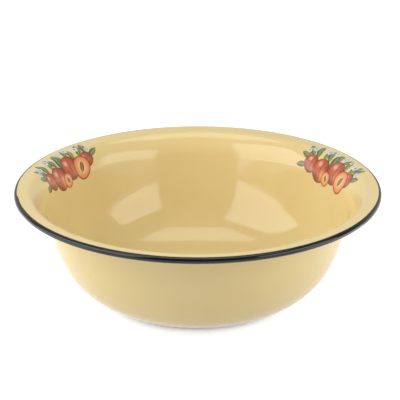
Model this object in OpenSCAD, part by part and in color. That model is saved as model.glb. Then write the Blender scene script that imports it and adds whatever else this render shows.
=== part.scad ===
// Enamelled basin: a pressed-steel bowl with a rolled rim, fused enamel coats and two fired fruit transfers.
// Lengths are millimetres and angles are degrees. The origin is on the floor, under the middle of the base,
// +Z is up and -Y is the front.

/* [Bowl] */
// Diameter over the coated bead
rim_d = 360; // [320:1:420]
// Height from the floor to the crest of the bead
height = 114.5; // [100:0.5:140]
// Diameter of the base, where the body starts to rise
base_d = 135; // [100:1:160]
// Slope of the straight wall, from level
wall_angle = 74.5; // [68:0.5:80]
// Radius of the belly, which eases the body's corner into that wall, on the outside of the bowl
belly_r = 190; // [140:5:240]
// Slope where the corner passes into the belly
belly_angle = 67; // [60:0.5:67]

/* [Base] */
// Width of the flat ring that the bowl stands on
foot_w = 9; // [5:0.5:20]
// Height of the shallow dome pressed into the base inside that ring
dome_rise = 1; // [0.4:0.1:2.5]

/* [Lip] */
// Width of the lip, from the bead to the fold
lip_w = 9; // [7:0.5:18]
// Slope of the lip, from level
lip_angle = 6; // [2:0.5:12]
// Radius of the fold between lip and wall, on the inside of the bowl
fold_r = 9.5; // [6:0.5:14]
// Slope where the tight fold eases into the long flare of the wall
fold_angle = 38; // [32:0.5:46]
// Radius of that flare, on the inside of the bowl
flare_r = 40; // [30:1:60]

/* [Rolled rim] */
// Diameter of the bead over its coat
bead_d = 5.8; // [4.5:0.1:8]
// Gap left between the tail of the curl and the underside of the lip
curl_gap = 0.2; // [0.1:0.05:0.4]

/* [Sheet and coats] */
// Thickness of the steel sheet
sheet_t = 0.7; // [0.5:0.05:0.9]
// Thickness of a fired coat, ground coat and cover coat together
coat_t = 0.3; // [0.2:0.05:0.4]
// Thickness of a fired transfer
film_t = 0.16; // [0.06:0.01:0.25]

/* [Transfers] */
// Bearing of each transfer, to either side of the back of the bowl
transfer_bearing = 62; // [40:1:80]
// Length of a transfer along the rim
transfer_w = 92; // [60:1:110]
// Height of a transfer, from the wall up over the fold to the lip
transfer_h = 40; // [28:1:46]

/* [Hidden] */
// Faces of each round stretch of the section
corner_steps = 13;
belly_steps = 3;
flare_steps = 7;
fold_steps = 5;
curl_steps = 16;
dome_steps = 5;
$fn = 120;

// Whole plums of a transfer: place along the rim and across it, and radius
plum_shares = [
    [-0.335, -0.34, 0.235],
    [-0.150, -0.40, 0.300],
    [ 0.105, -0.29, 0.315],
    [ 0.400, -0.26, 0.205],
];
// Halved plums: place, radius and the turn of the stone
half_shares = [
    [ 0.275, -0.40, 0.290,  62],
    [-0.020, -0.54, 0.170, 118],
];
// Leaves: place of the stalk, length, and the direction that the leaf points in
leaf_shares = [
    [-0.390, -0.40, 0.34, 205],
    [-0.360, -0.22, 0.40, 176],
    [-0.350, -0.14, 0.42, 146],
    [-0.290, -0.18, 0.44, 112],
    [-0.200, -0.14, 0.36,  80],
    [-0.095, -0.14, 0.42, 118],
    [-0.015, -0.32, 0.54,  92],
    [ 0.050, -0.06, 0.32, 112],
    [ 0.130, -0.06, 0.33,  66],
    [ 0.236, -0.15, 0.40,  95],
    [ 0.320, -0.14, 0.44,  56],
    [ 0.420, -0.14, 0.40,  66],
    [ 0.440, -0.22, 0.38,  14],
];
// Blossoms: place and radius over the petals; the eye is left open, so the coat shows there
blossom_shares = [
    [-0.470, -0.02, 0.080],
    [-0.405,  0.09, 0.100],
    [-0.205,  0.14, 0.105],
    [-0.105,  0.19, 0.080],
    [ 0.085,  0.16, 0.100],
    [ 0.215,  0.18, 0.080],
    [ 0.350,  0.12, 0.105],
    [ 0.490, -0.01, 0.085],
];
leaf_width_share = 0.42;
flesh_share = 0.86;
stone_length_share = 0.95;
stone_width_share = 0.50;
petal_count = 5;
petal_share = 0.46;
eye_share = 0.30;
// Length of the film band along the rim
band_length_share = 1.2;
// Most of the room between corner and flare that the belly may take
belly_room_share = 0.95;

// Whole thickness of wall: coat, sheet and coat
wall_t = sheet_t + 2 * coat_t;
base_r = base_d / 2;
bead_r = bead_d / 2;
// Middle of the bead
bead_mid = [rim_d / 2 - bead_r, height - bead_r];
// Radius of the curl on the outer coat's face of the sheet, which is the inside of the roll
curl_r = bead_r - wall_t;
// Turn of the curl from the lip until its tail is curl_gap short of the lip's underside
curl_turn = 360 - acos((curl_r - curl_gap) / bead_r);

// A station is [r, z, slope] on the outside face of the outer coat; the sheet and the other faces
// lie at steady offsets along its normal.
function normal(slope) = [-sin(slope), cos(slope)];
function along(slope) = [cos(slope), sin(slope)];
function station(p, slope) = [p[0], p[1], slope];
function place(s) = [s[0], s[1]];
function steps(from, to, count) = [for (i = [0 : count]) from + (to - from) * i / count];
function arc(mid, r, slopes) = [for (s = slopes) station(mid + r * normal(s), s)];
// All but the first of a list, for stretches that share a station
function rest(list) = [for (i = [1 : len(list) - 1]) list[i]];

// Curl: round the bead from the lip, with a station right on the crest
curl_slopes = concat([lip_angle], steps(0, lip_angle - curl_turn, curl_steps));
curl = arc(bead_mid, curl_r, curl_slopes);
// Lip, fold and flare, worked out from the bead inwards
lip_end = place(curl[0]) - lip_w * along(lip_angle);
fold_outer_r = fold_r - wall_t;
fold_mid = lip_end - fold_outer_r * normal(lip_angle);
fold = arc(fold_mid, fold_outer_r, steps(fold_angle, lip_angle, fold_steps));
flare_outer_r = flare_r - wall_t;
flare_mid = place(fold[0]) - flare_outer_r * normal(fold_angle);
flare = arc(flare_mid, flare_outer_r, steps(wall_angle, fold_angle, flare_steps));
// Body: the corner touches the floor at the base's edge and passes into the belly, and the straight wall
// runs from there to the flare. The rise of an arc and its reach past the wall's line are in radii.
wall_top = flare[0];
wall_lean = 1 / tan(wall_angle);
corner_rise = 1 - cos(belly_angle);
corner_reach = sin(belly_angle) - wall_lean * corner_rise;
belly_rise = cos(belly_angle) - cos(wall_angle);
belly_reach = sin(wall_angle) - sin(belly_angle) - wall_lean * belly_rise;
body_reach = wall_top[0] - wall_lean * wall_top[1] - base_r;
// The belly that would leave no straight wall at all
full_rise = belly_rise - corner_rise * belly_reach / corner_reach;
full_belly_r = (wall_top[1] - corner_rise * body_reach / corner_reach) / full_rise;
belly_fit_r = min(belly_r, belly_room_share * full_belly_r);
corner_r = (body_reach - belly_reach * belly_fit_r) / corner_reach;
corner = arc([base_r, corner_r], -corner_r, steps(0, belly_angle, corner_steps));
belly_mid = place(corner[corner_steps]) + belly_fit_r * normal(belly_angle);
belly = arc(belly_mid, -belly_fit_r, steps(belly_angle, wall_angle, belly_steps));
// Base: a shallow dome inside the standing ring, measured straight up
dome_edge_r = base_r - foot_w;
dome_r = (dome_edge_r * dome_edge_r + dome_rise * dome_rise) / (2 * dome_rise);
function dome_z(r) = dome_rise - dome_r + sqrt(dome_r * dome_r - r * r);
dome = [for (r = steps(0, dome_edge_r, dome_steps)) [r, r == dome_edge_r ? 0 : dome_z(r), 0]];

bowl = concat(dome, corner, rest(belly), flare, rest(fold));
under_face = 0;
steel_under = coat_t;
steel_upper = coat_t + sheet_t;
upper_face = wall_t;
film_face = wall_t + film_t;

// Middle of a transfer, on the upper coat where the fold passes into the flare; it is laid square to that
transfer_slope = fold_angle;
transfer_mid = fold_mid + fold_r * normal(transfer_slope);
function turn_along(length) = length / transfer_mid[0] * 180 / PI;
// Turn that the film band covers, with room past the outermost blossoms
band_turn = turn_along(band_length_share * transfer_w);
// The film band runs from the corner to the bead, on the same faces as the coat
band = concat(rest(corner), rest(belly), flare, rest(fold), [curl[0]]);

// One face of the section, at an offset from the outside of the outer coat
function face(stations, offset) = [for (s = stations) place(s) + offset * normal(s[2])];
function reversed(list) = [for (i = [len(list) - 1 : -1 : 0]) list[i]];

// Section of a layer between two faces
module layer(stations, lower, upper) {
    polygon(concat(face(stations, lower), reversed(face(stations, upper))));
}

module turned(stations, lower, upper) {
    rotate_extrude() layer(stations, lower, upper);
}

// Pressed bowl whose edge is rolled outwards and under into a hollow bead
module steel_shell() {
    color("slategray") turned(concat(bowl, curl), steel_under, steel_upper);
}

// Cream coat outside, from under the base to the start of the curl
module outer_enamel() {
    color("#e3cd92") turned(concat(bowl, [curl[0]]), under_face, steel_under);
}

// Cream coat inside, from the floor over the lip to the crest of the bead
module inner_enamel() {
    color("#ead699") turned(concat(bowl, [curl[0], curl[1]]), steel_upper, upper_face);
}

// Black coat round the bead, from its crest to the tail of the curl
module rim_enamel() {
    color("#17140f") turned(rest(curl), steel_upper, upper_face);
}

// Flat outlines of a transfer: x runs along the rim and y up the section, both from its middle.
// Rows bend with the rim, so a place far along the rim is lower on the flat.
function spot(share) =
    let (turn = turn_along(share[0] * transfer_w))
    let (sag = transfer_mid[0] * (1 - cos(turn)) * cos(transfer_slope))
    [transfer_mid[0] * sin(turn), share[1] * transfer_h - sag];

module whole_discs() {
    for (p = plum_shares) translate(spot(p)) circle(p[2] * transfer_h);
}

module half_discs(share) {
    for (h = half_shares) translate(spot(h)) circle(share * h[2] * transfer_h);
}

// Pointed oval between two arcs, from its stalk along +x
module pointed_oval(length, width) {
    arc_r = (length * length + width * width) / (4 * width);
    intersection_for (side = [-1, 1])
        translate([length / 2, side * (arc_r - width / 2)]) circle(arc_r);
}

module stones() {
    for (h = half_shares) {
        length = h[2] * transfer_h * stone_length_share;
        translate(spot(h))
            rotate(h[3])
                translate([-length / 2, 0]) pointed_oval(length, length * stone_width_share);
    }
}

module leaf_ovals() {
    for (l = leaf_shares)
        translate(spot(l))
            rotate(l[3])
                pointed_oval(l[2] * transfer_h, l[2] * transfer_h * leaf_width_share);
}

module petal_discs() {
    for (b = blossom_shares)
        translate(spot(b))
            for (i = [0 : petal_count - 1])
                rotate(i * 360 / petal_count)
                    translate([b[2] * transfer_h * (1 - petal_share), 0])
                        circle(b[2] * transfer_h * petal_share);
}

module blossom_eyes() {
    for (b = blossom_shares) translate(spot(b)) circle(b[2] * transfer_h * eye_share);
}

// Film of one colour: the outlines, laid square to the fold, cut out of a thin band on the upper coat
module film(bearing) {
    intersection() {
        rotate(bearing - band_turn / 2)
            rotate_extrude(angle = band_turn) layer(band, upper_face, film_face);
        rotate(bearing)
            translate([transfer_mid[0], 0, transfer_mid[1]])
                rotate([0, -transfer_slope, 0])
                    rotate(-90)
                        linear_extrude(2 * transfer_h, center = true) children();
    }
}

module leaves(bearing) {
    color("#5f7a45") film(bearing) difference() {
        leaf_ovals();
        whole_discs();
        half_discs(1);
        petal_discs();
        blossom_eyes();
    }
}

module plums(bearing) {
    color("#c2453a") film(bearing) {
        difference() {
            whole_discs();
            half_discs(1);
            petal_discs();
        }
        difference() {
            half_discs(1);
            half_discs(flesh_share);
        }
        stones();
    }
}

module plum_flesh(bearing) {
    color("#eaa568") film(bearing) difference() {
        half_discs(flesh_share);
        stones();
    }
}

module blossoms(bearing) {
    color("#e4e9ea") film(bearing) difference() {
        petal_discs();
        blossom_eyes();
    }
}

left = 90 + transfer_bearing;
right = 90 - transfer_bearing;

module left_leaves() leaves(left);
module left_plums() plums(left);
module left_plum_flesh() plum_flesh(left);
module left_blossoms() blossoms(left);
module right_leaves() leaves(right);
module right_plums() plums(right);
module right_plum_flesh() plum_flesh(right);
module right_blossoms() blossoms(right);

steel_shell();
outer_enamel();
inner_enamel();
rim_enamel();
left_leaves();
left_plums();
left_plum_flesh();
left_blossoms();
right_leaves();
right_plums();
right_plum_flesh();
right_blossoms();
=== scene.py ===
# Looks of the enamel basin: turned coats, rolled black rim and fired fruit transfers, over the CAD frame.
import math
from typing import NamedTuple

import bpy
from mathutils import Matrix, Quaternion, Vector, noise
from mathutils.bvhtree import BVHTree

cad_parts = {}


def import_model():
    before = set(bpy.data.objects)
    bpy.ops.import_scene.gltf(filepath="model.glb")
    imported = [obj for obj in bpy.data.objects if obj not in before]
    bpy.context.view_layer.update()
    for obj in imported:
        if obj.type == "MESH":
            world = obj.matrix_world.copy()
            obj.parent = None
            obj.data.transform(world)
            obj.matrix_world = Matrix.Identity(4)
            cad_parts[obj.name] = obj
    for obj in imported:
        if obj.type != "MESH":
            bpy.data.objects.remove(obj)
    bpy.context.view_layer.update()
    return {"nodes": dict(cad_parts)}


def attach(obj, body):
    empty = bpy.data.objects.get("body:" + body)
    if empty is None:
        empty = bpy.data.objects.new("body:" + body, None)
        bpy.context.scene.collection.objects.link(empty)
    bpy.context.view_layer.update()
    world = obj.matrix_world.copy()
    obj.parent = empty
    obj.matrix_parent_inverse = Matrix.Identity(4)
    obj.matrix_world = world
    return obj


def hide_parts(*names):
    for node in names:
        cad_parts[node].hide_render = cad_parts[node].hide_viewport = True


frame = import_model()

MM = 0.001

# Sizes of the bowl, as in the part's source, in metres and degrees
RIM_R = 180 * MM
HEIGHT = 114.5 * MM
BASE_R = 67.5 * MM
FOOT_W = 9 * MM
DOME_RISE = 1 * MM
WALL_ANGLE = 74.5
BELLY_R = 190 * MM
BELLY_ANGLE = 67
LIP_W = 9 * MM
LIP_ANGLE = 6
FOLD_R = 9.5 * MM
FOLD_ANGLE = 38
FLARE_R = 40 * MM
BEAD_R = 2.9 * MM
CURL_GAP = 0.2 * MM
SHEET_T = 0.7 * MM
COAT_T = 0.3 * MM
WALL_T = SHEET_T + 2 * COAT_T
STEEL_TOP = COAT_T + SHEET_T

# Fineness of the turned meshes
SEGMENTS = 384
CORNER_STEPS = 40
BELLY_STEPS = 8
WALL_STEPS = 12
FLARE_STEPS = 20
FOLD_STEPS = 18
LIP_STEPS = 8
CURL_STEPS = 48
CREST_STEPS = 4
DOME_STEPS = 10
# Bends sharper than this, in degrees, are shaded as edges
SHARP_ANGLE = 38

# The black coat is dipped by hand: how many millimetres it laps inwards of the crest at a bearing, from
# the step where the dip began at the left, by the front, right and back, and how far that edge wanders
DIP_LAPS = [
    (189.5, 0.0),
    (190.5, 0.95),
    (215, 1.0),
    (270, 1.45),
    (300, 1.1),
    (330, 0.45),
    (350, 0.0),
    (549.5, 0.0),
]
EDGE_WANDER = 0.22 * MM
EDGE_LIFT = 0.03 * MM
# Stretch of the black coat from the crest outwards that follows its edge, and of the cream one beside it
CREST_W = 0.6 * MM
EDGE_LAND = 0.5 * MM

# Transfers: place, size and the slope that they are laid square to, where the fold passes into the flare
TRANSFER_BEARINGS = {"left": 152, "right": 28}
TRANSFER_W = 92 * MM
TRANSFER_H = 40 * MM
TRANSFER_SLOPE = FOLD_ANGLE
# Place along the rim, place across it and radius of the whole plums, as shares
PLUM_SHARES = [
    (-0.335, -0.34, 0.235),
    (-0.150, -0.40, 0.300),
    (0.105, -0.29, 0.315),
    (0.400, -0.26, 0.205),
]
# Halved plums: place, radius and the turn of the stone
HALF_SHARES = [(0.275, -0.40, 0.290, 62), (-0.020, -0.54, 0.170, 118)]
# Leaves: place of the stalk, length and direction
LEAF_SHARES = [
    (-0.390, -0.40, 0.34, 205),
    (-0.360, -0.22, 0.40, 176),
    (-0.350, -0.14, 0.42, 146),
    (-0.290, -0.18, 0.44, 112),
    (-0.200, -0.14, 0.36, 80),
    (-0.095, -0.14, 0.42, 118),
    (-0.015, -0.32, 0.54, 92),
    (0.050, -0.06, 0.32, 112),
    (0.130, -0.06, 0.33, 66),
    (0.236, -0.15, 0.40, 95),
    (0.320, -0.14, 0.44, 56),
    (0.420, -0.14, 0.40, 66),
    (0.440, -0.22, 0.38, 14),
]
# Blossoms: place and radius over the petals
BLOSSOM_SHARES = [
    (-0.470, -0.02, 0.080),
    (-0.405, 0.09, 0.100),
    (-0.205, 0.14, 0.105),
    (-0.105, 0.19, 0.080),
    (0.085, 0.16, 0.100),
    (0.215, 0.18, 0.080),
    (0.350, 0.12, 0.105),
    (0.490, -0.01, 0.085),
]
LEAF_WIDTH_SHARE = 0.42
LEAF_TEETH = 9
TOOTH_SHARE = 0.06
FLESH_SHARE = 0.86
STONE_LENGTH_SHARE = 0.95
STONE_WIDTH_SHARE = 0.50
PETALS = 5
PETAL_SHARE = 0.46
EYE_SHARE = 0.30
# Fineness of the printed motifs, and the hub of a round one as a share of its radius
PLUM_RINGS = 14
HALF_RINGS = 12
PETAL_RINGS = 6
FRUIT_SECTORS = 56
PETAL_SECTORS = 60
OVAL_STEPS = 28
OVAL_ROWS = 8
HUB_SHARE = 0.02
# Heights of the printed layers above the coat, from the first colour to the last
LEAF_LIFT = 0.04 * MM
PLUM_LIFT = 0.07 * MM
SKIN_LIFT = 0.10 * MM
FLESH_LIFT = 0.125 * MM
STONE_LIFT = 0.15 * MM
BLOSSOM_LIFT = 0.12 * MM
# Steps in height between neighbours of one colour, and how deep the films are bedded in the coat
LEAF_STEP = 0.008 * MM
PLUM_STEP = 0.012 * MM
FILM_BED = 0.02 * MM

# Camera, fitted to the photograph's outline in a frame of 400 x 400
IMAGE_PX = 400
FOCAL_PX = 1522.4
AIM = Vector((0, 0, 0.11015))
AIM_PX = (197.75, 188.98)
CAMERA_DISTANCE = 1.5
CAMERA_ELEVATION = 21.285
SENSOR_MM = 36


class Lamp(NamedTuple):
    """A rectangular lamp: its middle, the way it faces, its size, brightness and roll in degrees."""

    place: tuple
    facing: tuple
    width: float
    height: float
    level: float
    roll: float = 0.0


# Studio: two soft boxes, a panel overhead and a white board on the floor at each side
LAMPS = {
    "right_box": Lamp((0.982, -0.579, 0.695), (-0.911, 0.413, 0.006), 1.108, 0.691, level=2.7, roll=1.1),
    "left_box": Lamp((-0.912, -0.255, 0.960), (0.788, 0.590, 0.176), 1.289, 1.400, level=2.8, roll=-4.3),
    "top_panel": Lamp((0, -0.09, 1.67), (0, -0.68, -0.73), 1.36, 1.09, level=2.25),
    "right_board": Lamp((0.37, -0.12, 0.03), (-0.3, 0, 1), 0.3, 0.14, level=2.5),
    "left_board": Lamp((-0.37, -0.07, 0.03), (0.3, 0, 1), 0.4, 0.14, level=1.7),
}
# The room: its light all round, and that of its walls, which grows between two reaches along an axis
ROOM_LEVEL = 0.205
BACK_WALL = 0.45
RIGHT_WALL = 1.3
LEFT_WALL = 1.2
BACK_REACH = (0.3, 0.8)
RIGHT_REACH = (0.4, 0.9)
LEFT_REACH = (-0.4, -0.9)
LOW_REACH = (0.35, 0.05)
# The floor: its extent, its own white near the bowl and far from it, and the reach of the contact shadow
FLOOR_HALF = 6.0
FLOOR_GLOW = 0.87
FLOOR_FAR = 0.97
NEAR_REACH = (0.30, 1.0)
CONTACT_REACH = 0.03


# Section of the bowl

def normal(slope):
    a = math.radians(slope)
    return Vector((-math.sin(a), math.cos(a)))


def along(slope):
    a = math.radians(slope)
    return Vector((math.cos(a), math.sin(a)))


def spread(start, end, count):
    return [start + (end - start) * i / count for i in range(count + 1)]


def arc(mid, radius, slopes):
    """Stations (point, slope) round a centre; a station lies on the outside face of the outer coat."""
    return [(mid + radius * normal(s), s) for s in slopes]


def straight(a, b, count):
    """Stations between two others on a straight stretch, without its ends."""
    return [(a[0].lerp(b[0], i / count), a[1]) for i in range(1, count)]


BEAD_MID = Vector((RIM_R - BEAD_R, HEIGHT - BEAD_R))
CURL_R = BEAD_R - WALL_T
CURL_TURN = 360 - math.degrees(math.acos((CURL_R - CURL_GAP) / BEAD_R))
LIP_START = (BEAD_MID + CURL_R * normal(LIP_ANGLE), LIP_ANGLE)
FOLD_MID = LIP_START[0] - LIP_W * along(LIP_ANGLE) - (FOLD_R - WALL_T) * normal(LIP_ANGLE)


def bowl_stations():
    """The section from the middle of the floor to the start of the curl."""
    fold = arc(FOLD_MID, FOLD_R - WALL_T, spread(FOLD_ANGLE, LIP_ANGLE, FOLD_STEPS))
    flare_mid = fold[0][0] - (FLARE_R - WALL_T) * normal(FOLD_ANGLE)
    flare = arc(flare_mid, FLARE_R - WALL_T, spread(WALL_ANGLE, FOLD_ANGLE, FLARE_STEPS))
    top = flare[0][0]
    wall, round_end = math.radians(WALL_ANGLE), math.radians(BELLY_ANGLE)
    lean = 1 / math.tan(wall)
    belly_reach = math.sin(wall) - math.sin(round_end) - lean * (math.cos(round_end) - math.cos(wall))
    corner_reach = math.sin(round_end) - lean * (1 - math.cos(round_end))
    corner_r = (top.x - lean * top.y - BASE_R - belly_reach * BELLY_R) / corner_reach
    corner = arc(Vector((BASE_R, corner_r)), -corner_r, spread(0, BELLY_ANGLE, CORNER_STEPS))
    belly_mid = corner[-1][0] + BELLY_R * normal(BELLY_ANGLE)
    belly = arc(belly_mid, -BELLY_R, spread(BELLY_ANGLE, WALL_ANGLE, BELLY_STEPS))
    edge = BASE_R - FOOT_W
    dome_r = (edge ** 2 + DOME_RISE ** 2) / (2 * DOME_RISE)
    dome = [(Vector((r, DOME_RISE - dome_r + math.sqrt(dome_r ** 2 - r ** 2))), 0)
            for r in spread(0, edge, DOME_STEPS)]
    wall = straight(belly[-1], flare[0], WALL_STEPS)
    lip = straight(fold[-1], LIP_START, LIP_STEPS)
    return dome + corner + belly[1:] + wall + flare + fold[1:] + lip + [LIP_START]


def face(stations, offset):
    return [p + offset * normal(s) for p, s in stations]


def layer(stations, lower, upper):
    """Closed outline of a coat between two offsets: up its upper face and back along the lower one."""
    return face(stations, upper) + face(stations, lower)[::-1]


# Meshes

def make_piece(name, mesh, materials, node):
    """A piece of the object that stands for one CAD node."""
    mesh.set_sharp_from_angle(angle=math.radians(SHARP_ANGLE))
    for m in materials:
        mesh.materials.append(m)
    piece = bpy.data.objects.new(name, mesh)
    bpy.context.scene.collection.objects.link(piece)
    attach(piece, "root")
    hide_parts(node)
    return piece


def lathe(name, outline_at):
    """Mesh of a closed outline turned round the Z axis; outline_at(azimuth) gives its (r, z) points."""
    outlines = [outline_at(2 * math.pi * i / SEGMENTS) for i in range(SEGMENTS)]
    count = len(outlines[0])
    verts, rings = [], []
    for j in range(count):
        if outlines[0][j].x < 1e-9:
            rings.append([len(verts)] * SEGMENTS)
            verts.append((0, 0, outlines[0][j].y))
            continue
        rings.append(list(range(len(verts), len(verts) + SEGMENTS)))
        for i in range(SEGMENTS):
            a = 2 * math.pi * i / SEGMENTS
            p = outlines[i][j]
            verts.append((p.x * math.cos(a), p.x * math.sin(a), p.y))
    faces = []
    for j in range(count):
        low, high = rings[j], rings[(j + 1) % count]
        for i in range(SEGMENTS):
            k = (i + 1) % SEGMENTS
            corners = dict.fromkeys((low[i], low[k], high[k], high[i]))
            if len(corners) > 2:
                faces.append(tuple(reversed(corners)))
    mesh = bpy.data.meshes.new(name)
    mesh.from_pydata(verts, [], faces)
    mesh.polygons.foreach_set("use_smooth", [True] * len(mesh.polygons))
    return mesh


# Node materials

class Nodes:
    """A node tree under construction."""

    def __init__(self, tree):
        self.tree = tree
        self.tree.nodes.clear()

    def node(self, kind, inputs=None, **settings):
        n = self.tree.nodes.new("ShaderNode" + kind)
        for k, v in settings.items():
            setattr(n, k, v)
        for k, v in (inputs or {}).items():
            if isinstance(v, bpy.types.NodeSocket):
                self.tree.links.new(v, n.inputs[k])
            else:
                n.inputs[k].default_value = v
        return n

    def math(self, operation, *values):
        return self.node("Math", dict(enumerate(values)), operation=operation).outputs[0]

    def times(self, product, *factors):
        for factor in factors:
            product = self.math("MULTIPLY", product, factor)
        return product

    def ramp(self, value, low, high, to_low=0.0, to_high=1.0):
        """Smooth step of a value from one range to another."""
        return self.node(
            "MapRange",
            {"Value": value, "From Min": low, "From Max": high, "To Min": to_low, "To Max": to_high},
            interpolation_type="SMOOTHSTEP",
        ).outputs[0]

    def mix(self, share, a, b):
        n = self.node("Mix", data_type="RGBA")
        for socket, v in ((n.inputs[0], share), (n.inputs[6], a), (n.inputs[7], b)):
            if isinstance(v, bpy.types.NodeSocket):
                self.tree.links.new(v, socket)
            else:
                socket.default_value = v if isinstance(v, float) else (*v, 1)
        return n.outputs[2]

    def vector(self, x, y):
        return self.node("CombineXYZ", {0: x, 1: y}).outputs[0]


class Shader(Nodes):
    """A node material under construction."""

    def __init__(self, name):
        self.material = bpy.data.materials.new(name)
        self.material.use_nodes = True
        super().__init__(self.material.node_tree)

    def place(self):
        return self.node("TexCoord").outputs["Object"]

    def noise(self, vector, scale, detail=2.0, roughness=0.5):
        return self.node(
            "TexNoise", {"Vector": vector, "Scale": scale, "Detail": detail, "Roughness": roughness}
        ).outputs["Fac"]

    def finish(self, colour, roughness, bump=None, ior=1.5, **sockets):
        inputs = {"Base Color": colour, "Roughness": roughness, "IOR": ior, **sockets}
        if bump is not None:
            inputs["Normal"] = bump
        shader = self.node("BsdfPrincipled", inputs)
        self.node("OutputMaterial", {"Surface": shader.outputs[0]})
        return self.material

    def relief(self, height, distance):
        return self.node("Bump", {"Height": height, "Strength": 1.0, "Distance": distance}).outputs[0]


def cream_enamel(name, light, deep):
    """Glossy cream enamel: cloudy depth of colour, orange-peel skin and a few tiny kiln specks."""
    s = Shader(name)
    at = s.place()
    cloud = s.ramp(s.noise(at, 9.0, 3.0), 0.35, 0.7)
    colour = s.mix(cloud, light, deep)
    # Specks: dots in a few of the cells of a fine mesh of cells
    cells = s.node("TexVoronoi", {"Vector": at, "Scale": 70.0}, feature="F1")
    chosen = s.math("GREATER_THAN", s.node("SeparateColor", {0: cells.outputs["Color"]}).outputs[0], 0.965)
    dot = s.ramp(cells.outputs["Distance"], 0.045, 0.02)
    colour = s.mix(s.times(chosen, dot, 0.7), colour, (0.09, 0.06, 0.03))
    # Worn ring where the base stands
    spot = s.node("SeparateXYZ", {0: at})
    low = s.ramp(spot.outputs[2], 0.0006, 0.0001)
    scuff = s.ramp(s.noise(at, 160.0, 3.0), 0.42, 0.66)
    colour = s.mix(s.times(low, scuff, 0.3), colour, (0.23, 0.20, 0.15))
    roughness = s.ramp(s.noise(at, 30.0), 0.3, 0.7, 0.07, 0.12)
    skin = s.math("ADD", s.noise(at, 85.0, 1.0), s.times(s.noise(at, 26.0, 1.0), 2.0))
    return s.finish(colour, roughness, s.relief(skin, 0.00006))


def black_enamel():
    """Dipped black coat of the bead: brown where it is thin, with a soft unevenness from the dip."""
    s = Shader("black_enamel")
    at = s.place()
    thin = s.ramp(s.noise(at, 55.0, 3.0), 0.5, 0.75)
    colour = s.mix(s.times(thin, 0.6), (0.0016, 0.0015, 0.0015), (0.006, 0.0045, 0.0035))
    roughness = s.ramp(s.noise(at, 120.0, 2.0), 0.3, 0.7, 0.06, 0.12)
    return s.finish(colour, roughness, s.relief(s.noise(at, 140.0, 1.0), 0.00006))


def bare_steel():
    """Sheet inside the roll: dull, blotched by the kiln."""
    s = Shader("bare_steel")
    at = s.place()
    scale = s.ramp(s.noise(at, 45.0, 5.0, 0.65), 0.35, 0.65)
    colour = s.mix(scale, (0.20, 0.20, 0.21), (0.09, 0.07, 0.06))
    roughness = s.ramp(s.noise(at, 90.0, 4.0), 0.3, 0.7, 0.35, 0.6)
    return s.finish(colour, roughness, s.relief(s.noise(at, 400.0, 3.0), 0.00004), Metallic=1.0)


def motif(s):
    """Place in a printed motif: two shares from 0 to 1, and a tone that differs between motifs."""
    uv = s.node("UVMap", uv_map="Motif").outputs[0]
    xy = s.node("SeparateXYZ", {0: uv})
    tone = s.node("Attribute", attribute_name="tone").outputs["Fac"]
    return xy.outputs[0], xy.outputs[1], tone


def from_middle(s, u, v, mid_u, mid_v):
    """Distance from a point of the motif, in its half-widths."""
    du = s.times(s.math("SUBTRACT", u, mid_u), 2.0)
    dv = s.times(s.math("SUBTRACT", v, mid_v), 2.0)
    return s.math("SQRT", s.math("ADD", s.times(du, du), s.times(dv, dv)))


def printed(s, colour):
    """Fired ink of a transfer, with the fine grain of its print."""
    grain = s.noise(s.place(), 900.0, 2.0, 0.7)
    colour = s.mix(s.ramp(grain, 0.35, 0.65, 0.0, 0.18), colour, (0.75, 0.62, 0.34))
    roughness = s.ramp(s.noise(s.place(), 200.0), 0.3, 0.7, 0.12, 0.20)
    return s.finish(colour, roughness, s.relief(grain, 0.00002))


def plum_print():
    """Whole fruit: deep red with a lighter cheek, a bloom, a cleft and a darker edge."""
    s = Shader("plum_print")
    u, v, tone = motif(s)
    cheek = s.ramp(from_middle(s, u, v, 0.36, 0.64), 1.15, 0.15)
    colour = s.mix(cheek, (0.29, 0.022, 0.014), (0.62, 0.12, 0.07))
    blush = s.ramp(from_middle(s, u, v, 0.70, 0.30), 0.75, 0.10)
    colour = s.mix(s.times(blush, tone), colour, (0.78, 0.32, 0.10))
    bow = s.times(s.math("SINE", s.times(v, math.pi)), 0.14)
    cleft = s.math("ABSOLUTE", s.math("SUBTRACT", u, s.math("SUBTRACT", 0.62, bow)))
    colour = s.mix(s.ramp(cleft, 0.045, 0.008, 0.0, 0.7), colour, (0.20, 0.012, 0.010))
    gleam = s.ramp(from_middle(s, u, v, 0.33, 0.70), 0.34, 0.06)
    colour = s.mix(s.times(gleam, 0.7), colour, (0.86, 0.55, 0.42))
    edge = s.ramp(from_middle(s, u, v, 0.5, 0.5), 0.82, 1.0)
    colour = s.mix(s.times(edge, 0.75), colour, (0.17, 0.010, 0.010))
    return printed(s, colour)


def skin_print():
    """Cut edge of the skin round a halved fruit."""
    s = Shader("skin_print")
    u, v, _ = motif(s)
    edge = s.ramp(from_middle(s, u, v, 0.5, 0.5), 0.86, 1.0)
    return printed(s, s.mix(edge, (0.60, 0.10, 0.05), (0.24, 0.02, 0.015)))


def flesh_print():
    """Cut fruit: pale round the stone, orange towards the skin, with fibres that run outwards."""
    s = Shader("flesh_print")
    u, v, _ = motif(s)
    out = from_middle(s, u, v, 0.5, 0.5)
    turn = s.math("ARCTAN2", s.math("SUBTRACT", v, 0.5), s.math("SUBTRACT", u, 0.5))
    ray = s.vector(s.times(turn, 5.0), s.times(out, 0.6))
    fibre = s.ramp(s.noise(ray, 3.5, 2.0), 0.35, 0.65)
    colour = s.mix(s.ramp(out, 0.30, 0.95), (0.84, 0.58, 0.25), (0.78, 0.22, 0.075))
    colour = s.mix(s.times(fibre, 0.4), colour, (0.88, 0.50, 0.20))
    return printed(s, colour)


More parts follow.
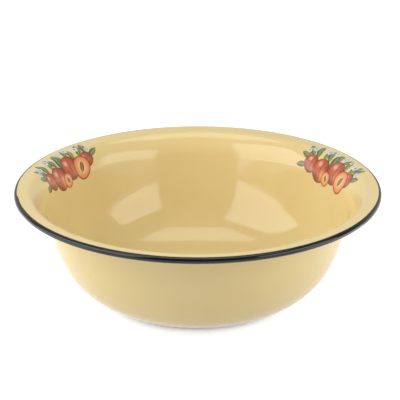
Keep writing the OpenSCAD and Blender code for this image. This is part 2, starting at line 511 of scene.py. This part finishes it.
def stone_print():
    """Stone: brown, ridged along its length and pitted."""
    s = Shader("stone_print")
    u, v, _ = motif(s)
    ridge = s.math("ABSOLUTE", s.math("SUBTRACT", v, 0.5))
    colour = s.mix(s.ramp(ridge, 0.0, 0.45), (0.42, 0.15, 0.05), (0.13, 0.03, 0.016))
    at = s.vector(s.times(u, 2.0), v)
    pits = s.node("TexVoronoi", {"Vector": at, "Scale": 5.0}).outputs["Distance"]
    return printed(s, s.mix(s.ramp(pits, 0.30, 0.05, 0.0, 0.6), colour, (0.09, 0.02, 0.012)))


def leaf_print():
    """Leaf: two greens either side of a pale midrib, side veins and a darker edge."""
    s = Shader("leaf_print")
    u, v, tone = motif(s)
    across = s.math("SUBTRACT", v, 0.5)
    off_rib = s.math("ABSOLUTE", across)
    warm = s.mix(tone, (0.075, 0.135, 0.060), (0.22, 0.25, 0.055))
    cool = s.mix(tone, (0.040, 0.085, 0.050), (0.10, 0.16, 0.060))
    colour = s.mix(s.ramp(across, -0.04, 0.04), warm, cool)
    slant = s.math("SUBTRACT", u, s.times(off_rib, 0.45))
    comb = s.math("ABSOLUTE", s.math("SINE", s.times(slant, 7 * math.pi)))
    colour = s.mix(s.ramp(comb, 0.22, 0.04, 0.0, 0.55), colour, (0.34, 0.36, 0.13))
    colour = s.mix(s.ramp(off_rib, 0.055, 0.02, 0.0, 0.9), colour, (0.50, 0.50, 0.22))
    edge = s.ramp(off_rib, 0.40, 0.5, 0.0, 0.6)
    return printed(s, s.mix(edge, colour, (0.035, 0.060, 0.030)))


def blossom_print():
    """Blossom: pale petals with blue-grey streaks from the eye and a shaded notch between petals."""
    s = Shader("blossom_print")
    u, v, tone = motif(s)
    streak_at = s.vector(s.times(u, 9.0), s.times(v, 0.8))
    streak = s.times(s.ramp(s.noise(streak_at, 1.6, 2.0), 0.45, 0.62), s.ramp(v, 1.0, 0.1))
    colour = s.mix(tone, (0.72, 0.76, 0.78), (0.56, 0.64, 0.72))
    colour = s.mix(s.times(streak, 0.7), colour, (0.20, 0.30, 0.46))
    notch = s.ramp(s.math("ABSOLUTE", s.math("SUBTRACT", u, 0.5)), 0.36, 0.5, 0.0, 0.7)
    colour = s.mix(notch, colour, (0.25, 0.33, 0.42))
    colour = s.mix(s.ramp(v, 0.26, 0.05, 0.0, 0.9), colour, (0.50, 0.36, 0.09))
    return printed(s, colour)


# Transfers

class Print:
    """One colour of a transfer: motifs drawn on the flat and laid on the coat, square to the fold."""

    def __init__(self, name, bearing, coat):
        self.name, self.coat = name, coat
        a, slope = math.radians(bearing), math.radians(TRANSFER_SLOPE)
        out = Vector((math.cos(a), math.sin(a), 0))
        mid = FOLD_MID + FOLD_R * normal(TRANSFER_SLOPE)
        self.mid_r = mid.x
        self.origin = out * mid.x + Vector((0, 0, mid.y))
        self.u = Vector((math.sin(a), -math.cos(a), 0))
        self.v = out * math.cos(slope) + Vector((0, 0, math.sin(slope)))
        self.n = -out * math.sin(slope) + Vector((0, 0, math.cos(slope)))
        self.verts, self.faces, self.uvs, self.slots, self.tones = [], [], [], [], []

    def spot(self, share):
        """Place on the flat of a share along the rim and across it; rows bend with the rim."""
        turn = share[0] * TRANSFER_W / self.mid_r
        sag = self.mid_r * (1 - math.cos(turn)) * math.cos(math.radians(TRANSFER_SLOPE))
        return Vector((self.mid_r * math.sin(turn), share[1] * TRANSFER_H - sag))

    def lay(self, p, lift):
        start = self.origin + self.u * p.x + self.v * p.y + self.n * TRANSFER_H
        hit, up, _, _ = self.coat.ray_cast(start, -self.n)
        return hit + up * lift

    def add(self, points, uvs, faces, edges, lift, slot=0, tone=0.5):
        """Lays a motif on the coat as a closed film; its edges are loops of point numbers."""
        top = len(self.verts)
        under = top + len(points)
        self.verts += [self.lay(p, lift) for p in points] + [self.lay(p, -FILM_BED) for p in points]
        self.uvs += uvs + uvs
        new = [tuple(top + i for i in f) for f in faces]
        new += [tuple(under + i for i in reversed(f)) for f in faces]
        for edge in edges:
            for i, n in zip(edge, edge[1:] + edge[:1]):
                new.append((top + i, under + i, under + n, top + n))
        self.faces += new
        self.slots += [slot] * len(new)
        self.tones += [tone] * (2 * len(points))

    def disc(self, mid, radius_at, rings, sectors, lift, inner_at=None, slot=0, tone=0.5, polar=0):
        """A round motif, radius_at(angle) wide, with a hole of inner_at(angle) if that is given.
        With polar set to a number of petals, its place runs round each petal and out from the eye."""
        points, uvs, faces = [], [], []
        for j in range(rings + 1):
            share = j / rings
            for i in range(sectors):
                a = 2 * math.pi * i / sectors
                hub = inner_at(a) if inner_at else radius_at(a) * HUB_SHARE
                r = hub + (radius_at(a) - hub) * share
                points.append(mid + Vector((r * math.cos(a), r * math.sin(a))))
                if polar:
                    uvs.append(((a * polar / (2 * math.pi) + 0.5) % 1, share))
                else:
                    k = r / radius_at(a) / 2
                    uvs.append((0.5 + k * math.cos(a), 0.5 + k * math.sin(a)))
        for j in range(rings):
            low, high = j * sectors, (j + 1) * sectors
            for i in range(sectors):
                k = (i + 1) % sectors
                faces.append((low + i, high + i, high + k, low + k))
        edges = [[rings * sectors + i for i in range(sectors)]]
        if inner_at:
            edges.append(list(reversed(range(sectors))))
        else:
            faces.append(tuple(range(sectors)))
        self.add(points, uvs, faces, edges, lift, slot, tone)

    def oval(self, stalk, length, width, turn, lift, teeth=0, slot=0, tone=0.5):
        """A pointed oval from its stalk, between two arcs, with small teeth along its edge if asked."""
        steps, across = OVAL_STEPS, OVAL_ROWS
        arc_r = (length ** 2 + width ** 2) / (4 * width)
        ahead, aside = along(turn), normal(turn)
        points, uvs, faces = [], [], []
        for j in range(1, steps):
            x = length * j / steps
            half = math.sqrt(arc_r ** 2 - (x - length / 2) ** 2) - (arc_r - width / 2)
            if teeth:
                half *= 1 + TOOTH_SHARE * ((j * teeth / steps) % 1 - 0.5)
            for i in range(across + 1):
                k = 2 * i / across - 1
                points.append(stalk + ahead * x + aside * (half * k))
                uvs.append((j / steps, 0.5 + 0.5 * k))
        row = across + 1
        for j in range(steps - 2):
            for i in range(across):
                a = j * row + i
                faces.append((a, a + row, a + row + 1, a + 1))
        base, tip = len(points), len(points) + 1
        points += [stalk.copy(), stalk + ahead * length]
        uvs += [(0, 0.5), (1, 0.5)]
        last = (steps - 2) * row
        for i in range(across):
            faces.append((base, i, i + 1))
            faces.append((last + i, tip, last + i + 1))
        edge = [base] + [j * row for j in range(steps - 1)] + [tip]
        edge += [j * row + across for j in reversed(range(steps - 1))]
        self.add(points, uvs, faces, [edge], lift, slot, tone)

    def piece(self, materials, node, slot):
        mesh = bpy.data.meshes.new(self.name)
        mesh.from_pydata(self.verts, [], self.faces)
        mesh.polygons.foreach_set("use_smooth", [True] * len(mesh.polygons))
        mesh.polygons.foreach_set("material_index", self.slots)
        layer_uv = mesh.uv_layers.new(name="Motif")
        for corner in mesh.loops:
            layer_uv.data[corner.index].uv = self.uvs[corner.vertex_index]
        tones = mesh.attributes.new("tone", "FLOAT", "POINT")
        tones.data.foreach_set("value", self.tones)
        return make_piece(self.name, mesh, materials, node)


def tone_of(index):
    """A steady value from 0 to 1 for the index of a motif."""
    return (0.37 + index * 0.618) % 1


def leaves(side, bearing, coat, looks):
    p = Print(f"{side}_leaves_print", bearing, coat)
    for i, share in enumerate(LEAF_SHARES):
        length = share[2] * TRANSFER_H
        lift = LEAF_LIFT + (i % 3) * LEAF_STEP
        width = length * LEAF_WIDTH_SHARE
        p.oval(p.spot(share), length, width, share[3], lift, LEAF_TEETH, tone=tone_of(i))
    return p.piece([looks["leaf"]], f"{side}_leaves", "leaf_print")


def plums(side, bearing, coat, looks):
    p = Print(f"{side}_plums_print", bearing, coat)
    for i, share in enumerate(PLUM_SHARES):
        radius = share[2] * TRANSFER_H
        lift = PLUM_LIFT + (i % 2) * PLUM_STEP
        p.disc(p.spot(share), lambda a: radius, PLUM_RINGS, FRUIT_SECTORS, lift, tone=tone_of(i))
    for i, share in enumerate(HALF_SHARES):
        radius = share[2] * TRANSFER_H
        p.disc(p.spot(share), lambda a: radius, HALF_RINGS, FRUIT_SECTORS, SKIN_LIFT, slot=1)
        length = radius * STONE_LENGTH_SHARE
        stalk = p.spot(share) - along(share[3]) * (length / 2)
        p.oval(stalk, length, length * STONE_WIDTH_SHARE, share[3], STONE_LIFT, slot=2)
    return p.piece([looks["plum"], looks["skin"], looks["stone"]], f"{side}_plums", "plum_print")


def plum_flesh(side, bearing, coat, looks):
    p = Print(f"{side}_flesh_print", bearing, coat)
    for share in HALF_SHARES:
        radius = FLESH_SHARE * share[2] * TRANSFER_H
        p.disc(p.spot(share), lambda a: radius, HALF_RINGS, FRUIT_SECTORS, FLESH_LIFT)
    return p.piece([looks["flesh"]], f"{side}_plum_flesh", "flesh_print")


def petal_edge(angle, radius):
    """Distance from the eye's middle to the edge of the nearest petal."""
    reach, petal = radius * (1 - PETAL_SHARE), radius * PETAL_SHARE
    step = 2 * math.pi / PETALS
    off = (angle + step / 2) % step - step / 2
    return reach * math.cos(off) + math.sqrt(petal ** 2 - (reach * math.sin(off)) ** 2)


def blossoms(side, bearing, coat, looks):
    p = Print(f"{side}_blossoms_print", bearing, coat)
    for i, share in enumerate(BLOSSOM_SHARES):
        radius = share[2] * TRANSFER_H
        p.disc(p.spot(share), lambda a: petal_edge(a, radius), PETAL_RINGS, PETAL_SECTORS, BLOSSOM_LIFT,
               inner_at=lambda a: radius * EYE_SHARE, tone=tone_of(i), polar=PETALS)
    return p.piece([looks["blossom"]], f"{side}_blossoms", "blossom_print")


# Coats

def dip_lap(azimuth):
    """How far inwards of the crest the black coat ends."""
    on_ring = Vector((math.cos(azimuth), math.sin(azimuth), 0)) * 5
    wander = EDGE_WANDER * (noise.noise(on_ring) + 0.5 * noise.noise(on_ring * 3.1))
    first = DIP_LAPS[0][0]
    bearing = (math.degrees(azimuth) - first) % 360 + first
    for (a, low), (b, high) in zip(DIP_LAPS, DIP_LAPS[1:]):
        if bearing <= b:
            return wander + (low + (high - low) * (bearing - a) / (b - a)) * MM


def rim_station(inward):
    """The station this far inwards of the crest, on the curl or on the lip beyond it."""
    bend = math.radians(LIP_ANGLE) * BEAD_R
    if inward > bend:
        return LIP_START[0] - (inward - bend) * along(LIP_ANGLE), LIP_ANGLE
    return arc(BEAD_MID, CURL_R, [math.degrees(inward / BEAD_R)])[0]


def rim_outline(azimuth):
    """Section of the black coat, from its dipped edge round the bead to the end of the curl."""
    over_crest = [rim_station(inward) for inward in spread(dip_lap(azimuth), -CREST_W, CREST_STEPS)]
    curl = arc(BEAD_MID, CURL_R, spread(over_crest[-1][1], LIP_ANGLE - CURL_TURN, CURL_STEPS))
    return layer(over_crest + curl[1:], STEEL_TOP, WALL_T + EDGE_LIFT)


def inner_outline(azimuth, stations):
    """Section of the inside coat, up to the dipped edge of the black one."""
    lap = dip_lap(azimuth)
    edge = [rim_station(lap + EDGE_LAND), rim_station(lap)]
    return layer(stations[:-2] + edge, STEEL_TOP, WALL_T)


def coats(looks):
    stations = bowl_stations()
    outside = layer(stations, 0.0, COAT_T)
    mesh = lathe("inner_coat", lambda a: inner_outline(a, stations))
    make_piece("inner_coat", mesh, [looks["inside"]], "inner_enamel")
    make_piece("outer_coat", lathe("outer_coat", lambda a: outside), [looks["outside"]],
               "outer_enamel")
    make_piece("rim_coat", lathe("rim_coat", rim_outline), [looks["black"]], "rim_enamel")
    return BVHTree.FromPolygons([v.co for v in mesh.vertices], [p.vertices for p in mesh.polygons])


# Studio

def camera():
    data = bpy.data.cameras.new("camera")
    data.sensor_width = SENSOR_MM
    data.lens = FOCAL_PX / IMAGE_PX * SENSOR_MM
    data.shift_x = (IMAGE_PX / 2 - AIM_PX[0]) / IMAGE_PX
    data.shift_y = (AIM_PX[1] - IMAGE_PX / 2) / IMAGE_PX
    data.clip_end = 50
    obj = bpy.data.objects.new("camera", data)
    e = math.radians(CAMERA_ELEVATION)
    obj.location = AIM + CAMERA_DISTANCE * Vector((0, -math.cos(e), math.sin(e)))
    obj.rotation_euler = (AIM - obj.location).to_track_quat("-Z", "Y").to_euler()
    bpy.context.scene.collection.objects.link(obj)
    bpy.context.scene.camera = obj


def light(name, lamp):
    """Adds a lamp, which has the same brightness all over."""
    data = bpy.data.lights.new(name, "AREA")
    data.shape = "RECTANGLE"
    data.size, data.size_y = lamp.width, lamp.height
    data.energy = lamp.level * math.pi * lamp.width * lamp.height
    obj = bpy.data.objects.new(name, data)
    obj.location = lamp.place
    roll = Quaternion((0, 0, 1), math.radians(lamp.roll))
    obj.rotation_euler = (Vector(lamp.facing).to_track_quat("-Z", "Y") @ roll).to_euler()
    bpy.context.scene.collection.objects.link(obj)


def floor():
    """White floor that keeps the bowl's shadow and is plain white further away."""
    mesh = bpy.data.meshes.new("floor")
    corners = [(x * FLOOR_HALF, y * FLOOR_HALF, 0) for x, y in ((-1, -1), (1, -1), (1, 1), (-1, 1))]
    mesh.from_pydata(corners, [], [(0, 1, 2, 3)])
    s = Shader("floor")
    at = s.place()
    speckle = s.noise(at, 30.0, 3.0)
    matt = s.node("BsdfDiffuse", {"Color": s.mix(speckle, (0.79, 0.79, 0.79), (0.81, 0.81, 0.81))})
    pale = s.node("BsdfDiffuse", {"Color": s.mix(speckle, (0.35, 0.35, 0.35), (0.37, 0.37, 0.37))})
    away = s.node("VectorMath", {0: at}, operation="LENGTH").outputs["Value"]
    open_sky = s.node("AmbientOcclusion", {"Distance": CONTACT_REACH}, samples=16).outputs["AO"]
    contact = s.ramp(open_sky, 0.03, 0.12, 0.02, 1.0)
    strength = s.times(contact, s.ramp(away, *NEAR_REACH, FLOOR_GLOW, FLOOR_FAR))
    glow = s.node("Emission", {"Color": (1, 1, 1, 1), "Strength": strength})
    white = s.node("AddShader", {0: pale.outputs[0], 1: glow.outputs[0]})
    path = s.node("LightPath").outputs
    mirrored = s.math("MAXIMUM", path["Is Glossy Ray"], path["Is Transmission Ray"])
    seen = s.math("MAXIMUM", path["Is Camera Ray"], mirrored)
    pick = s.node("MixShader", {0: seen, 1: matt.outputs[0], 2: white.outputs[0]})
    s.node("OutputMaterial", {"Surface": pick.outputs[0]})
    mesh.materials.append(s.material)
    obj = bpy.data.objects.new("floor", mesh)
    bpy.context.scene.collection.objects.link(obj)


def world():
    """A room with a lit back, sides that are lit low down, and a dark front by the camera."""
    room = bpy.data.worlds.new("studio")
    bpy.context.scene.world = room
    room.use_nodes = True
    s = Nodes(room.node_tree)
    x, y, z = s.node("SeparateXYZ", {0: s.node("TexCoord").outputs["Generated"]}).outputs
    right, left = s.ramp(x, *RIGHT_REACH, 0.0, RIGHT_WALL), s.ramp(x, *LEFT_REACH, 0.0, LEFT_WALL)
    sides = s.times(s.math("ADD", right, left), s.ramp(z, *LOW_REACH))
    walls = s.math("ADD", s.ramp(y, *BACK_REACH, 0.0, BACK_WALL), sides)
    strength = s.math("ADD", walls, ROOM_LEVEL)
    shine = s.node("Background", {"Color": (1, 0.99, 0.97, 1), "Strength": strength})
    s.node("OutputWorld", {"Surface": shine.outputs[0]})


def studio():
    camera()
    for name, lamp in LAMPS.items():
        light(name, lamp)
    floor()
    world()


# The bowl in its studio

looks = {
    "inside": cream_enamel("cream_enamel_inside", (0.775, 0.615, 0.285), (0.755, 0.59, 0.265)),
    # The outside cream is a touch lighter than the inside one: painted light that lifts the outer sides,
    # which get too little lamp light
    "outside": cream_enamel("cream_enamel_outside", (0.78, 0.62, 0.285), (0.76, 0.595, 0.265)),
    "black": black_enamel(),
    "leaf": leaf_print(),
    "plum": plum_print(),
    "skin": skin_print(),
    "flesh": flesh_print(),
    "stone": stone_print(),
    "blossom": blossom_print(),
}
inner_tree = coats(looks)
for side, bearing in TRANSFER_BEARINGS.items():
    for colour in (leaves, plums, plum_flesh, blossoms):
        colour(side, bearing, inner_tree, looks)
steel = frame["nodes"]["steel_shell"]
steel.data.materials.clear()
steel.data.materials.append(bare_steel())

bpy.context.scene.view_settings.view_transform = "Standard"
studio()
